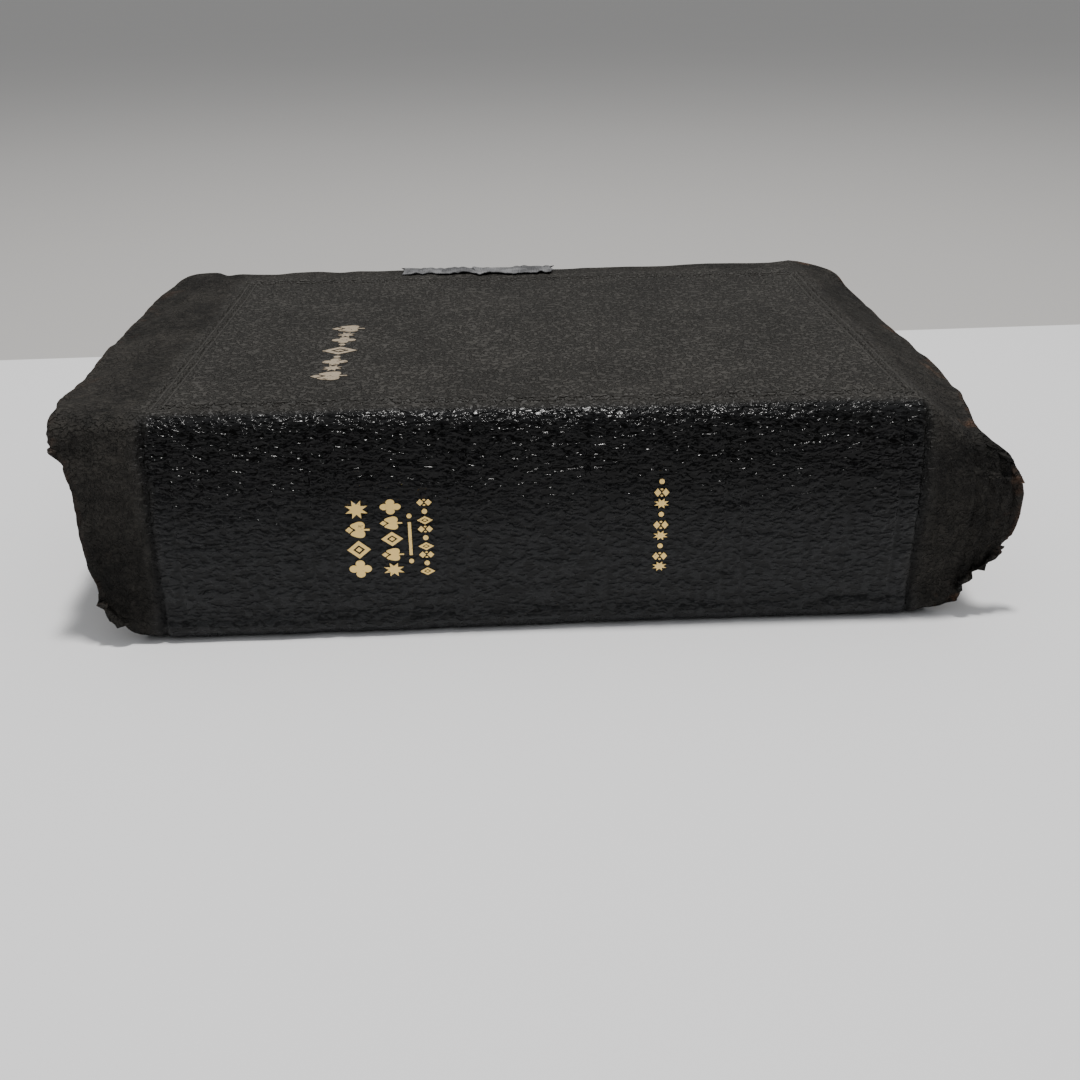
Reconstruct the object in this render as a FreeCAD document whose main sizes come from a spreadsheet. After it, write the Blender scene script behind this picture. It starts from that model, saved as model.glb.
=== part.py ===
# Limp leather Bible with flaps (yapp edges) on three sides of each cover.
# Frame: X runs from head (-) to tail (+), Y from spine (-) to fore edge (+), Z up.
# The book lies closed on its back cover, with the origin under the middle of its outline.
# While a piece is drawn, Y = 0 is the outermost line of the spine leather, and the
# placement of each piece moves it back by half of the overall depth.
import FreeCAD, Part
import math
import os
import Sketcher

doc = FreeCAD.newDocument("bible")
sheet = doc.addObject("Spreadsheet::Sheet", "dims")

driving = [
    ("pageHeight", 182.0, "leaf, head to tail"),
    ("pageWidth", 128.0, "leaf, fold to fore edge"),
    ("leafCorner", 7.0, "corner radius of the leaves at the fore edge"),
    ("sectionThickness", 1.56, "one folded and sewn section"),
    ("lowerSections", 17, "sections under the opening"),
    ("upperSections", 15, "sections over the opening"),
    ("spineRise", 3.0, "how far rounding pushes the middle of the spine out"),
    ("openingGap", 0.4, "room for the two leaves at the opening"),
    ("flyleafThickness", 0.15, "endpaper leaf"),
    ("coverGap", 0.2, "air between a cover and the block"),
    ("foldGap", 0.1, "air between the folds and the tapes"),
    ("tapeThickness", 0.4, "sewing tape"),
    ("sewingTapeWidth", 10.0, "sewing tape"),
    ("sewingTapePitch", 34.0, "between two sewing tapes"),
    ("threadWidth", 0.7, "chain of kettle stitches"),
    ("kettleInset", 8.0, "kettle stitches from the ends of the leaves"),
    ("mullThickness", 0.3, "open cloth glued over the tapes"),
    ("mullInset", 6.0, "mull from the ends of the leaves"),
    ("paperThickness", 0.5, "spine paper glued over the mull"),
    ("bandSize", 1.5, "head and tail bands, square"),
    ("leatherThickness", 1.2, "skin"),
    ("boardThickness", 0.8, "flexible card, and the turned-in leather beside it"),
    ("liningThickness", 0.5, "inner lining of a cover"),
    ("boardSquare", 0.5, "board past the leaves"),
    ("boardClearance", 0.1, "board in its pocket, all round"),
    ("boardInset", 1.5, "board from the joint edge of the cover"),
    ("jointStep", 3.5, "joint edge of a cover from the outermost spine line"),
    ("flapFlat", 10.0, "flap before its bend"),
    ("flapSlope", 12.0, "flap after its bend, in plan"),
    ("flapDrop", 7.0, "how far the edge of a flap turns over"),
    ("flapCorner", 14.0, "corner radius at the bend of the flaps"),
    ("liningMargin", 2.0, "lining from the edge of the flap"),
    ("spineFlap", 22.5, "spine leather past the leaves at head and tail"),
    ("spineFlapCorner", 20.0, "corner radius of the spine flaps"),
    ("spineSplit", 0.15, "spine layers, from the middle of the opening gap"),
    ("repairLength", 50.0, "adhesive repair strip, along the fore edge"),
    ("repairWidth", 9.0, "adhesive repair strip"),
    ("repairThickness", 0.2, "adhesive repair strip"),
    ("repairCentre", -16.0, "middle of the repair strip along X"),
    ("hingeSetIn", 4.0, "cover pivots from the outermost spine line"),
    ("hingeClear", 0.4, "opening pivot outside the spine leather"),
]

for row, (alias, value, note) in enumerate(driving, start=1):
    sheet.set(f"A{row}", note)
    sheet.set(f"B{row}", str(value))
    sheet.setAlias(f"B{row}", alias)
doc.recompute()

# Heights, as expressions on the sheet.
coverThickness = "(dims.leatherThickness + dims.boardThickness + dims.liningThickness)"
foldedLeather = "(dims.leatherThickness + dims.boardThickness)"
blockBottom = f"({coverThickness} + dims.coverGap)"
lowerStart = f"({blockBottom} + dims.flyleafThickness)"
lowerEnd = f"({lowerStart} + dims.lowerSections * dims.sectionThickness)"
upperStart = f"({lowerEnd} + dims.openingGap)"
upperEnd = f"({upperStart} + dims.upperSections * dims.sectionThickness)"
blockTop = f"({upperEnd} + dims.flyleafThickness)"
totalThickness = f"({blockTop} + dims.coverGap + {coverThickness})"
openingHeight = f"({lowerEnd} + dims.openingGap / 2)"
middleHeight = f"({totalThickness} / 2)"
halfBlock = f"(({blockTop} - {blockBottom}) / 2)"

# The rounded spine: concentric layers about one axis.
foldRadius = f"(({halfBlock} * {halfBlock} + dims.spineRise * dims.spineRise) / (2 * dims.spineRise))"
tapeInner = f"({foldRadius} + dims.foldGap)"
mullInner = f"({tapeInner} + dims.tapeThickness)"
paperInner = f"({mullInner} + dims.mullThickness)"
leatherInner = f"({paperInner} + dims.paperThickness)"
leatherOuter = f"({leatherInner} + dims.leatherThickness)"
axisDepth = leatherOuter

# Plan of the leaves and covers.
halfPage = "(dims.pageHeight / 2)"
shoulderFold = f"({axisDepth} - {foldRadius} + dims.spineRise)"
boardFar = f"({shoulderFold} + dims.pageWidth + dims.boardSquare)"
halfBoard = f"({halfPage} + dims.boardSquare)"
halfFlat = f"({halfBoard} + dims.flapFlat)"
flatFar = f"({boardFar} + dims.flapFlat)"
overallDepth = f"({flatFar} + dims.flapSlope)"
halfSpine = f"({halfPage} + dims.spineFlap)"


def originPlane(body, role):
    for feature in body.Origin.OriginFeatures:
        if feature.Role == role:
            return feature


def settle(piece):
    piece.setExpression("Placement.Base.y", f"-{overallDepth} / 2")
    return piece


def newBody(name):
    body = doc.addObject("PartDesign::Body", name)
    body.Label = name
    return body


def newSketch(body, name, role, x, y, z):
    sketch = body.newObject("Sketcher::SketchObject", name)
    sketch.AttachmentSupport = (originPlane(body, role), [""])
    sketch.MapMode = "FlatFace"
    sketch.setExpression("AttachmentOffset.Base.x", x)
    sketch.setExpression("AttachmentOffset.Base.y", y)
    sketch.setExpression("AttachmentOffset.Base.z", z)
    return sketch


def size(sketch, name, constraint, expression):
    index = sketch.addConstraint(constraint)
    sketch.renameConstraint(index, name)
    sketch.setExpression(f"Constraints.{name}", expression)


def roundForeEdge(body, pad, name):
    # the two corners of a leaf or section that lie away from the spine
    doc.recompute()
    far = body.Shape.BoundBox.YMax
    corners = []
    for number, edge in enumerate(pad.Shape.Edges, start=1):
        upright = edge.BoundBox.XLength < 0.001 and edge.BoundBox.YLength < 0.001
        if upright and abs(edge.BoundBox.YMax - far) < 0.001:
            corners.append(f"Edge{number}")
    fillet = body.newObject("PartDesign::Fillet", f"{name}_corners")
    fillet.Base = (pad, corners)
    fillet.setExpression("Radius", "dims.leafCorner")


def drawSection(sketch):
    # one section from its end: a round fold about the sketch origin, then flat leaves
    half = 1.0
    far = 100.0
    point = FreeCAD.Vector
    fold = Part.ArcOfCircle(point(0, half, 0), point(-half, 0, 0), point(0, -half, 0))
    sketch.addGeometry(fold, False)
    sketch.addGeometry(Part.LineSegment(point(0, -half, 0), point(far, -half, 0)), False)
    sketch.addGeometry(Part.LineSegment(point(far, -half, 0), point(far, half, 0)), False)
    sketch.addGeometry(Part.LineSegment(point(far, half, 0), point(0, half, 0)), False)
    sketch.addConstraint(Sketcher.Constraint("Coincident", 0, 3, -1, 1))
    sketch.addConstraint(Sketcher.Constraint("Tangent", 0, 2, 1, 1))
    sketch.addConstraint(Sketcher.Constraint("Coincident", 1, 2, 2, 1))
    sketch.addConstraint(Sketcher.Constraint("Coincident", 2, 2, 3, 1))
    sketch.addConstraint(Sketcher.Constraint("Tangent", 3, 2, 0, 1))
    sketch.addConstraint(Sketcher.Constraint("Horizontal", 1))
    sketch.addConstraint(Sketcher.Constraint("Horizontal", 3))
    sketch.addConstraint(Sketcher.Constraint("Vertical", 2))
    size(sketch, "foldRadius", Sketcher.Constraint("Radius", 0, half), "dims.sectionThickness / 2")
    size(
        sketch,
        "leafDepth",
        Sketcher.Constraint("DistanceX", -1, 1, 2, 1, far),
        "dims.pageWidth - dims.sectionThickness / 2",
    )


def makeSection(name, bottom):
    middle = f"({bottom} + dims.sectionThickness / 2)"
    offCentre = f"({middle} - {middleHeight})"
    fold = f"{axisDepth} - sqrt({foldRadius} * {foldRadius} - {offCentre} * {offCentre})"
    body = newBody(name)
    sketch = newSketch(
        body, f"{name}_end", "YZ_Plane", f"{fold} + dims.sectionThickness / 2", middle, "0"
    )
    drawSection(sketch)
    pad = body.newObject("PartDesign::Pad", f"{name}_pad")
    pad.Profile = sketch
    pad.SideType = "Symmetric"
    pad.setExpression("Length", "dims.pageHeight")
    roundForeEdge(body, pad, name)
    return settle(body)


def drawRectangle(sketch, width, depth):
    # a rectangle that is centred on the sketch's Y axis and stands on its X axis
    side = 50.0
    point = FreeCAD.Vector
    corners = [point(-side, 0, 0), point(side, 0, 0), point(side, side, 0), point(-side, side, 0)]
    for index, corner in enumerate(corners):
        sketch.addGeometry(Part.LineSegment(corner, corners[(index + 1) % 4]), False)
    for index in range(4):
        sketch.addConstraint(Sketcher.Constraint("Coincident", index, 2, (index + 1) % 4, 1))
        direction = "Horizontal" if index % 2 == 0 else "Vertical"
        sketch.addConstraint(Sketcher.Constraint(direction, index))
    sketch.addConstraint(Sketcher.Constraint("Symmetric", 0, 1, 0, 2, -1, 1))
    size(sketch, "width", Sketcher.Constraint("DistanceX", 0, 1, 0, 2, 2 * side), width)
    size(sketch, "depth", Sketcher.Constraint("DistanceY", 1, 1, 1, 2, side), depth)


def drawCoverOutline(sketch, width, depth, corner):
    # square at the joint edge, which lies on the sketch's X axis, and round at the fore edge
    half = 100.0
    far = 150.0
    bend = 20.0
    point = FreeCAD.Vector
    quarter = bend * math.sqrt(0.5)
    sketch.addGeometry(Part.LineSegment(point(-half, 0, 0), point(half, 0, 0)), False)
    sketch.addGeometry(Part.LineSegment(point(half, 0, 0), point(half, far - bend, 0)), False)
    sketch.addGeometry(
        Part.ArcOfCircle(
            point(half, far - bend, 0),
            point(half - bend + quarter, far - bend + quarter, 0),
            point(half - bend, far, 0),
        ),
        False,
    )
    sketch.addGeometry(
        Part.LineSegment(point(half - bend, far, 0), point(bend - half, far, 0)), False
    )
    sketch.addGeometry(
        Part.ArcOfCircle(
            point(bend - half, far, 0),
            point(bend - half - quarter, far - bend + quarter, 0),
            point(-half, far - bend, 0),
        ),
        False,
    )
    sketch.addGeometry(Part.LineSegment(point(-half, far - bend, 0), point(-half, 0, 0)), False)
    sketch.addConstraint(Sketcher.Constraint("Coincident", 0, 2, 1, 1))
    sketch.addConstraint(Sketcher.Constraint("Coincident", 5, 2, 0, 1))
    sketch.addConstraint(Sketcher.Constraint("Tangent", 1, 2, 2, 1))
    sketch.addConstraint(Sketcher.Constraint("Tangent", 2, 2, 3, 1))
    sketch.addConstraint(Sketcher.Constraint("Tangent", 3, 2, 4, 1))
    sketch.addConstraint(Sketcher.Constraint("Tangent", 4, 2, 5, 1))
    sketch.addConstraint(Sketcher.Constraint("Horizontal", 0))
    sketch.addConstraint(Sketcher.Constraint("Horizontal", 3))
    sketch.addConstraint(Sketcher.Constraint("Vertical", 1))
    sketch.addConstraint(Sketcher.Constraint("Vertical", 5))
    sketch.addConstraint(Sketcher.Constraint("Symmetric", 0, 1, 0, 2, -1, 1))
    sketch.addConstraint(Sketcher.Constraint("Equal", 2, 4))
    size(sketch, "width", Sketcher.Constraint("DistanceX", 0, 1, 0, 2, 2 * half), width)
    size(sketch, "depth", Sketcher.Constraint("DistanceY", 0, 2, 3, 1, far), depth)
    size(sketch, "corner", Sketcher.Constraint("Radius", 2, bend), corner)


def coverSketch(body, name, height, slope):
    # the outline of a cover where its flaps have run down their slope by this much
    sketch = newSketch(body, name, "XY_Plane", "0", "dims.jointStep", height)
    drawCoverOutline(
        sketch,
        f"2 * ({halfFlat} + {slope})",
        f"{flatFar} + {slope} - dims.jointStep",
        f"dims.flapCorner + {slope}",
    )
    return sketch


def addLoft(body, kind, name, first, last):
    loft = body.newObject(kind, name)
    loft.Profile = first
    loft.Sections = [last]
    loft.Ruled = True
    return loft


def makeDish(name, start, thickness, margin):
    # a sheet that is flat over the board and rises at its three free edges, as on the back cover
    beyond = 1.25  # the hollow is cut on past the rim, so that it leaves nothing standing
    slope = f"(dims.flapSlope - {margin})"
    rise = f"(dims.flapDrop * {slope} / dims.flapSlope)"
    body = newBody(name)
    flat = coverSketch(body, f"{name}_flat", start, "0")
    edge = coverSketch(body, f"{name}_edge", f"{start} + {rise}", slope)
    addLoft(body, "PartDesign::AdditiveLoft", f"{name}_slope", flat, edge)
    rim = body.newObject("PartDesign::Pad", f"{name}_rim")
    rim.Profile = edge
    rim.setExpression("Length", thickness)
    top = coverSketch(body, f"{name}_top", f"{start} + {thickness}", "0")
    over = coverSketch(
        body, f"{name}_over", f"{start} + {thickness} + {beyond} * {rise}", f"{beyond} * {slope}"
    )
    addLoft(body, "PartDesign::SubtractiveLoft", f"{name}_hollow", top, over)
    return body


def makeCoverLeather(name):
    body = makeDish(name, "0", foldedLeather, "0")
    doc.recompute()
    before = body.Shape.Volume
    sketch = newSketch(
        body,
        f"{name}_board_seat",
        "XY_Plane",
        "0",
        "dims.jointStep + dims.boardInset - dims.boardClearance",
        foldedLeather,
    )
    drawRectangle(
        sketch,
        f"2 * ({halfBoard} + dims.boardClearance)",
        f"{boardFar} - dims.jointStep - dims.boardInset + 2 * dims.boardClearance",
    )
    pocket = body.newObject("PartDesign::Pocket", f"{name}_pocket")
    pocket.Profile = sketch
    pocket.setExpression("Length", "dims.boardThickness")
    doc.recompute()
    if body.Shape.Volume >= before:
        raise RuntimeError(f"the board seat cuts nothing from {name}")
    return body


def makeBoard(name):
    body = newBody(name)
    sketch = newSketch(
        body,
        f"{name}_plan",
        "XY_Plane",
        "0",
        "dims.jointStep + dims.boardInset",
        "dims.leatherThickness",
    )
    drawRectangle(
        sketch, f"2 * {halfBoard}", f"{boardFar} - dims.jointStep - dims.boardInset"
    )
    pad = body.newObject("PartDesign::Pad", f"{name}_pad")
    pad.Profile = sketch
    pad.setExpression("Length", "dims.boardThickness")
    return body


def turnToFront(body):
    # the front cover is the back cover turned half round about Y
    body.Placement = FreeCAD.Placement(
        FreeCAD.Vector(0, 0, 0), FreeCAD.Rotation(FreeCAD.Vector(0, 1, 0), 180)
    )
    body.setExpression("Placement.Base.z", totalThickness)
    return body


def makeCover(side):
    pieces = [
        makeCoverLeather(f"{side}_cover_leather"),
        makeBoard(f"{side}_board"),
        makeDish(f"{side}_lining", foldedLeather, "dims.liningThickness", "dims.liningMargin"),
    ]
    for piece in pieces:
        if side == "front":
            turnToFront(piece)
        settle(piece)
    return pieces


def makeFlyleaf(name, bottom):
    body = newBody(name)
    sketch = newSketch(body, f"{name}_plan", "XY_Plane", "0", shoulderFold, bottom)
    drawRectangle(sketch, "dims.pageHeight", "dims.pageWidth")
    pad = body.newObject("PartDesign::Pad", f"{name}_pad")
    pad.Profile = sketch
    pad.setExpression("Length", "dims.flyleafThickness")
    roundForeEdge(body, pad, name)
    return settle(body)


def makeRepairStrip(name):
    strip = doc.addObject("Part::Box", name)
    strip.Label = name
    strip.setExpression("Length", "dims.repairLength")
    strip.setExpression("Width", "dims.repairWidth")
    strip.setExpression("Height", "dims.repairThickness")
    strip.setExpression("Placement.Base.x", "dims.repairCentre - dims.repairLength / 2")
    strip.setExpression(
        "Placement.Base.y", f"{flatFar} - dims.repairWidth - {overallDepth} / 2"
    )
    strip.setExpression("Placement.Base.z", totalThickness)
    return strip


def spineCylinder(name, radius):
    cylinder = doc.addObject("Part::Cylinder", name)
    cylinder.Placement = FreeCAD.Placement(
        FreeCAD.Vector(0, 0, 0), FreeCAD.Rotation(FreeCAD.Vector(0, 1, 0), 90)
    )
    cylinder.setExpression("Radius", radius)
    cylinder.setExpression("Height", f"2 * {halfSpine}")
    cylinder.setExpression("Placement.Base.x", f"-{halfSpine}")
    cylinder.setExpression("Placement.Base.y", axisDepth)
    cylinder.setExpression("Placement.Base.z", middleHeight)
    return cylinder


def spineRing(name, inner, outer):
    ring = doc.addObject("Part::Cut", f"{name}_ring")
    ring.Base = spineCylinder(f"{name}_outer", outer)
    ring.Tool = spineCylinder(f"{name}_inner", inner)
    return ring


def spineWindow(name, left, width, bottom, top):
    # the stretch of a spine layer that a piece takes up, on the spine's side of the axis
    window = doc.addObject("Part::Box", name)
    window.setExpression("Length", width)
    window.setExpression("Width", axisDepth)
    window.setExpression("Height", f"{top} - {bottom}")
    window.setExpression("Placement.Base.x", left)
    window.setExpression("Placement.Base.z", bottom)
    return window


def spinePiece(name, ring, window):
    piece = doc.addObject("Part::Common", name)
    piece.Label = name
    piece.Base = ring
    piece.Tool = window
    return settle(piece)


def makeSpineLayer(name, inner, outer, halfLength, bottom, top):
    ring = spineRing(name, inner, outer)
    window = spineWindow(f"{name}_window", f"-{halfLength}", f"2 * {halfLength}", bottom, top)
    return spinePiece(name, ring, window)


def makeSpineGroup(name, inner, outer, lefts, width, bottom, top):
    # separate bands of one layer, side by side along the spine
    ring = spineRing(name, inner, outer)
    windows = []
    for number, left in enumerate(lefts, start=1):
        windows.append(spineWindow(f"{name}_window_{number}", left, width, bottom, top))
    group = doc.addObject("Part::Compound", f"{name}_windows")
    group.Links = windows
    return spinePiece(name, ring, group)


def makeSpineLeather(name, bottom, top, roundedAt):
    # one half of the leather over the spine, with its two corners away from the split rounded
    outline = newBody(f"{name}_outline")
    sketch = newSketch(outline, f"{name}_face", "XZ_Plane", "0", bottom, "0")
    drawRectangle(sketch, f"2 * {halfSpine}", f"{top} - {bottom}")
    pad = outline.newObject("PartDesign::Pad", f"{name}_pad")
    pad.Profile = sketch
    pad.Reversed = True
    pad.setExpression("Length", axisDepth)
    doc.recompute()
    box = outline.Shape.BoundBox
    level = box.ZMax if roundedAt == "top" else box.ZMin
    corners = []
    for number, edge in enumerate(outline.Shape.Edges, start=1):
        middle = edge.CenterOfMass
        runsBack = edge.BoundBox.YLength > box.YLength / 2
        if runsBack and abs(middle.z - level) < 0.001:
            corners.append(f"Edge{number}")
    fillet = outline.newObject("PartDesign::Fillet", f"{name}_corners")
    fillet.Base = (pad, corners)
    fillet.setExpression("Radius", f"min(dims.spineFlapCorner; {top} - {bottom} - 1)")
    return spinePiece(name, spineRing(name, leatherInner, leatherOuter), outline)


def makeSpineHalf(half, bottom, top):
    # the layers of one half of the spine, from the folds outwards
    tapePositions = [
        f"{index} * dims.sewingTapePitch - dims.sewingTapeWidth / 2"
        for index in (-1.5, -0.5, 0.5, 1.5)
    ]
    kettlePositions = [
        f"dims.kettleInset - {halfPage} - dims.threadWidth / 2",
        f"{halfPage} - dims.kettleInset - dims.threadWidth / 2",
    ]
    bandInner = f"({foldRadius} - dims.bandSize)"
    rounded = "top" if half == "upper" else "bottom"
    return [
        makeSpineGroup(
            f"sewing_tapes_{half}", tapeInner, mullInner, tapePositions,
            "dims.sewingTapeWidth", bottom, top,
        ),
        makeSpineGroup(
            f"kettle_stitches_{half}", tapeInner, mullInner, kettlePositions,
            "dims.threadWidth", bottom, top,
        ),
        makeSpineLayer(
            f"mull_{half}", mullInner, paperInner, f"({halfPage} - dims.mullInset)", bottom, top
        ),
        makeSpineLayer(f"spine_paper_{half}", paperInner, leatherInner, halfPage, bottom, top),
        makeSpineGroup(
            f"head_band_{half}", bandInner, foldRadius, [f"-{halfPage} - dims.bandSize"],
            "dims.bandSize", bottom, top,
        ),
        makeSpineGroup(
            f"tail_band_{half}", bandInner, foldRadius, [halfPage],
            "dims.bandSize", bottom, top,
        ),
        makeSpineLeather(f"spine_leather_{half}", bottom, top, rounded),
    ]


def makeSections(start, count, firstNumber):
    sections = []
    for index in range(count):
        bottom = f"({start} + {index} * dims.sectionThickness)"
        sections.append(makeSection(f"section_{firstNumber + index:02d}", bottom))
    return sections


lowerCount = int(sheet.lowerSections)
upperCount = int(sheet.upperSections)
pieces = makeSections(lowerStart, lowerCount, 1)
pieces += makeSections(upperStart, upperCount, lowerCount + 1)
pieces.append(makeFlyleaf("back_flyleaf", blockBottom))
pieces.append(makeFlyleaf("front_flyleaf", upperEnd))
pieces += makeSpineHalf("lower", blockBottom, f"({openingHeight} - dims.spineSplit)")
pieces += makeSpineHalf("upper", f"({openingHeight} + dims.spineSplit)", blockTop)
pieces += makeCover("back")
pieces += makeCover("front")
pieces.append(makeRepairStrip("repair_strip"))
doc.recompute()

for item in doc.Objects:
    if "Invalid" in item.State or "Error" in item.State:
        raise RuntimeError(f"{item.Name} did not recompute: {item.State}")
for piece in pieces:
    if piece.Shape.isNull() or not piece.Shape.isValid() or not piece.Shape.Solids:
        raise RuntimeError(f"{piece.Label} has no valid solid")

os.makedirs("parts", exist_ok=True)
for piece in pieces:
    piece.Shape.exportStep(f"parts/{piece.Label}.step")
    print(piece.Label, len(piece.Shape.Solids), round(piece.Shape.Volume, 1))

# Pivot lines and heights, printed for the joints: Y and Z of each line that runs along X.
closedWithRepair = f"({totalThickness} + dims.repairThickness)"
pivots = {
    "totalThickness": totalThickness,
    "overallDepth": overallDepth,
    "openingHeight": openingHeight,
    "coverPivotY": f"dims.hingeSetIn - {overallDepth} / 2",
    "openingPivotY": f"-dims.hingeClear - {overallDepth} / 2",
    "backPivotZ": f"{coverThickness} / 2",
    "frontPivotZ": f"{openingHeight} + {closedWithRepair} / 2 + dims.hingeClear / 2",
}
probe = doc.addObject("App::FeaturePython", "probe")
for name, expression in pivots.items():
    probe.addProperty("App::PropertyFloat", name)
    probe.setExpression(name, expression)
doc.recompute()
for name in pivots:
    print(name, round(getattr(probe, name), 3))
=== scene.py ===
import math

import bpy
import numpy as np
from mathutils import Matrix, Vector


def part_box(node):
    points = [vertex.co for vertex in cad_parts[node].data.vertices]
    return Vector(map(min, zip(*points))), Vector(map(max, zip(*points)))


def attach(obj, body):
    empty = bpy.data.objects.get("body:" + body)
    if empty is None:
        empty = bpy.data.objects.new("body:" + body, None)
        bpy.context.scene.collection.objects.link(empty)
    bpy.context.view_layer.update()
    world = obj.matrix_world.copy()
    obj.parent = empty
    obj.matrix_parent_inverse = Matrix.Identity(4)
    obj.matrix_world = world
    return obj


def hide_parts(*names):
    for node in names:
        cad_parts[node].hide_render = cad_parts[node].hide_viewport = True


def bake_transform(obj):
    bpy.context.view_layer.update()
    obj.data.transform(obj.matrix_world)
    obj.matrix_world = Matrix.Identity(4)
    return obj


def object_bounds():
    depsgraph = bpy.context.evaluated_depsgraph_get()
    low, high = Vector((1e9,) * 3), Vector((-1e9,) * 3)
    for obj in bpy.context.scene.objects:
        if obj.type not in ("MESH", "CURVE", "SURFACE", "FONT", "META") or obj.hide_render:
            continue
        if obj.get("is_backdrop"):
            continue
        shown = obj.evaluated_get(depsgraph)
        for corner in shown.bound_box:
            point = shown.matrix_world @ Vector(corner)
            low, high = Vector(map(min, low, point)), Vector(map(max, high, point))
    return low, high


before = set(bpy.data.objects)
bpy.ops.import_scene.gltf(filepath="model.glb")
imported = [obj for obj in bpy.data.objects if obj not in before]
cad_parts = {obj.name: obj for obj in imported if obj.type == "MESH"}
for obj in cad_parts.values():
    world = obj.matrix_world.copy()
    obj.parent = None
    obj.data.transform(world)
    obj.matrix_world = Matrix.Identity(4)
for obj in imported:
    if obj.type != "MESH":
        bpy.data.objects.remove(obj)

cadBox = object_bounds()
mm = 0.001
spineFace = cadBox[0].y / mm      # the outermost line of the spine
topFace = cadBox[1].z / mm        # the closed book's thickness
middle = topFace / 2
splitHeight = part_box("section_17")[1].z / mm + 0.2      # the book opens here, halfway up the gap
fullTurn = 2 * math.pi


def smooth(value, low, high):
    # 0 below low, 1 above high and an even slope between
    t = np.clip((np.asarray(value, float) - low) / (high - low), 0, 1)
    return t * t * (3 - 2 * t)


def hump(value, centre, width):
    # 1 at the centre, falling away on both sides
    return np.exp(-((np.asarray(value, float) - centre) / width) ** 2)


def ripple(a, b, cell, seed):
    # soft seeded noise from -1 to 1, one bump about every cell
    size, start = 64, 16
    table = np.random.default_rng(seed).random((size, size)) * 2 - 1
    u, v = np.broadcast_arrays(np.asarray(a, float) / cell + start, np.asarray(b, float) / cell + start)
    i, j = np.floor(u).astype(int), np.floor(v).astype(int)
    f, g = smooth(u - i, 0, 1), smooth(v - j, 0, 1)
    i, j, k, m = i % size, j % size, (i + 1) % size, (j + 1) % size
    return ((table[i, j] * (1 - f) + table[k, j] * f) * (1 - g)
            + (table[i, m] * (1 - f) + table[k, m] * f) * g)


def pick(obj):
    bpy.ops.object.select_all(action="DESELECT")
    obj.select_set(True)
    bpy.context.view_layer.objects.active = obj
    return obj


def applyModifier(obj, kind, **settings):
    pick(obj)
    bpy.ops.object.modifier_add(type=kind)
    modifier = obj.modifiers[-1]
    for name, value in settings.items():
        setattr(modifier, name, value)
    bpy.ops.object.modifier_apply(modifier=modifier.name)
    return obj


def smoothShade(obj, angle=40):
    pick(obj)
    bpy.ops.object.shade_smooth_by_angle(angle=math.radians(angle))
    return obj


def places(obj):
    co = np.zeros(len(obj.data.vertices) * 3)
    obj.data.vertices.foreach_get("co", co)
    return co.reshape(-1, 3)


def putPlaces(obj, co):
    obj.data.vertices.foreach_set("co", np.asarray(co, float).ravel())
    obj.data.update()


def keepRest(obj):
    # the place at rest, which the patterns read so that they stay on the piece
    attribute = obj.data.attributes.new("restPlace", "FLOAT_VECTOR", "POINT")
    attribute.data.foreach_set("vector", places(obj).astype(np.float32).ravel())


def addAttribute(obj, name, values):
    attribute = obj.data.attributes.new(name, "FLOAT", "POINT")
    attribute.data.foreach_set("value", np.asarray(values, np.float32).ravel())


def gridPiece(name, columns, rows, place):
    # a flat grid whose points are then laid where place(column, row) says, in millimetres
    bpy.ops.object.select_all(action="DESELECT")
    across, along = len(columns) - 1, len(rows) - 1
    bpy.ops.mesh.primitive_grid_add(x_subdivisions=across, y_subdivisions=along, size=1)
    obj = bpy.context.object
    obj.name = obj.data.name = name
    flat = places(obj)
    i = np.rint((flat[:, 0] + 0.5) * across).astype(int)
    j = np.rint((flat[:, 1] + 0.5) * along).astype(int)
    putPlaces(obj, place(np.asarray(columns, float)[i], np.asarray(rows, float)[j]) * mm)
    return obj


def steps(start, end, coarse, lines=(), fine=0.4, reach=1.5):
    # stations from start to end, closer together near the lines
    found, at = [start], start
    while at < end:
        near = any(abs(at + coarse / 2 - line) < reach + coarse / 2 for line in lines)
        at += fine if near else coarse
        found.append(min(at, end))
    if len(found) > 2 and found[-1] - found[-2] < fine / 2:
        found.pop(-2)
    return np.array(found)


# the cover is one skin: s runs along the leather, 0 in the middle of the back and up to the front
cover = dict(
    frontBend=(110.7, 6.0),     # radius of the rounded back, and of its turn into the front
    backBend=(420.0, 2.6),      # the same towards the lower side, which the weight has flattened
    blockHalf=91.5,         # half the height of the leaves
    flapStart=92.5,
    flap=22.0,              # the end flaps' usual length
    foreStart=134.0,        # fore edge of the leaves
    foreFlap=22.0,          # how far the flap goes on, along the leather
    foreBend=11.0,
    leather=1.8,
    lining=0.5,
    edgeRoll=1.0,           # radius of the turned edge
    tailCorner=28.0,
    headCorner=19.0,
    lean=2.5,               # how far the back leans out at the foot of its head end
    seam=23.4,              # where the back piece meets the side pieces
)


def halfSection(bend, shoulder):
    start = bend - math.sqrt((bend - shoulder) ** 2 - (middle - shoulder) ** 2)
    turn = math.atan2(middle - shoulder, bend - start)
    back, corner = bend * turn, shoulder * (math.pi / 2 - turn)
    # along the leather, a point of the flat side is at its y + panel
    return dict(bend=bend, shoulder=shoulder, start=start, turn=turn, back=back, corner=corner,
                panel=back + corner - start)


frontHalf, backHalf = halfSection(*cover["frontBend"]), halfSection(*cover["backBend"])
panelStart, backPanelStart = frontHalf["panel"], backHalf["panel"]
foreReach = cover["foreStart"] + cover["foreFlap"]
shoulderY = frontHalf["start"]

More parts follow.
